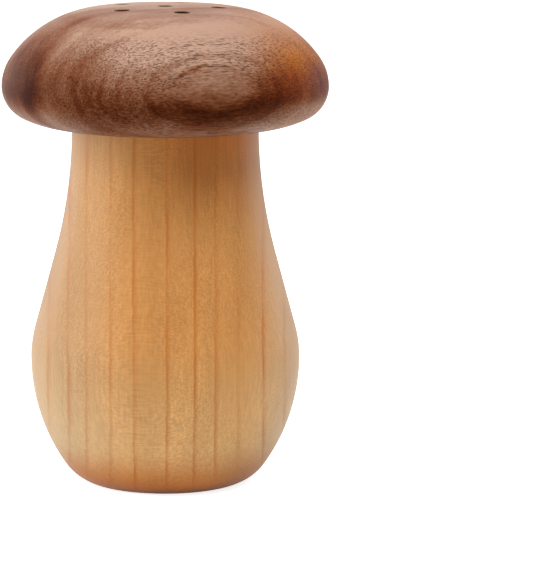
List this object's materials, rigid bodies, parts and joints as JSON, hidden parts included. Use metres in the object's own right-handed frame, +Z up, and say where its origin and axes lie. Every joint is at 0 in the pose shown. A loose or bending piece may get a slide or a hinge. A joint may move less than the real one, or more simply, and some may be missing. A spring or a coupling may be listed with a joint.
{
  "type": "toothpick dispenser",
  "caption": "Vase-shaped turned wooden stem with a mushroom-shaped dark wood cap, drilled to shake out toothpicks; the cap turns and lifts off for refilling.",
  "frame": {"origin": "centre of the foot, on the surface that the dispenser stands on", "axes": "+Z up along the turning axis, -Y towards the side that the picture shows, +X to its right"},
  "size_m": [0.06, 0.06, 0.0883],
  "materials": {
    "light_wood": "honey-coloured maple, turned, sanded and oiled to a low satin",
    "dark_wood": "figured walnut, turned, sanded and oiled to a low satin",
    "silicone": "translucent matte silicone"
  },
  "bodies": {
    "stem": {"stem": "light_wood"},
    "seal_ring": {"seal_ring": "silicone"},
    "cap": {"cap": "dark_wood"}
  },
  "joints": [
    {"name": "cap_lift", "type": "slide", "parent": "stem", "child": "seal_ring", "axis": [0, 0, 1], "range_m": [0, 0.08]},
    {"name": "cap_turn", "type": "hinge", "parent": "seal_ring", "child": "cap", "pos_m": [0, 0, 0.0665], "axis": [0, 0, 1], "continuous": true}
  ]
}
